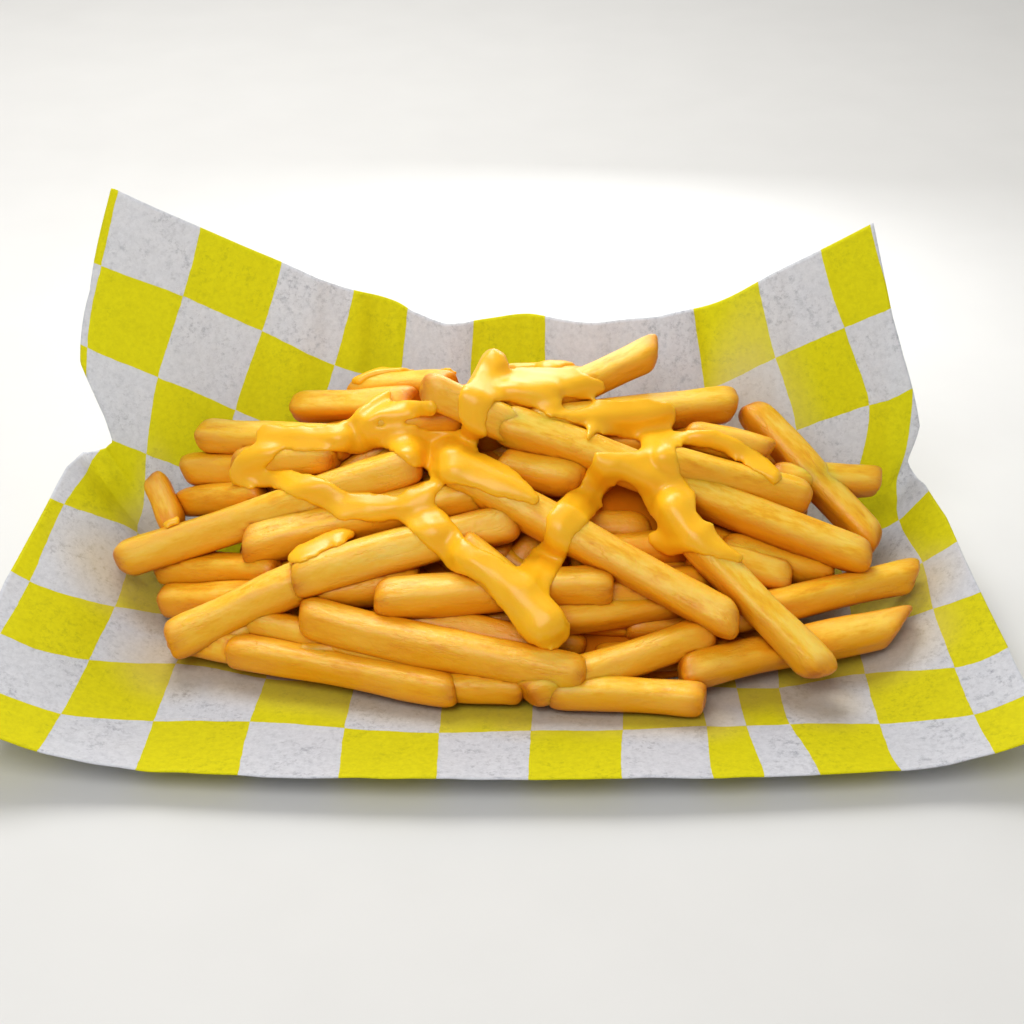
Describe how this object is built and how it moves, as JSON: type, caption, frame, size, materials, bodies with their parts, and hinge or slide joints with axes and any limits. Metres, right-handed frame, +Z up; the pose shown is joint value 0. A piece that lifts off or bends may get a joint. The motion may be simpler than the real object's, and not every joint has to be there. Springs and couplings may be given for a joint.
{
  "type": "french fries with cheese sauce in a paper sheet",
  "caption": "Heap of straight-cut french fries under a net of melted cheese sauce, lying in a checked greaseproof paper sheet with a raised back and two standing corners.",
  "frame": {"origin": "middle of the whole part's box, on the table under the sheet", "axes": "+Z up, +X along the sheet's width to the right, +Y from the low front edge to the raised back"},
  "size_m": [0.2845, 0.151, 0.1111],
  "materials": {
    "paper": "matte",
    "fries": "satin",
    "sauce": "glossy"
  },
  "bodies": {
    "root": {"paper_sheet": "paper", "fries_heap": "fries"}
  },
  "joints": []
}
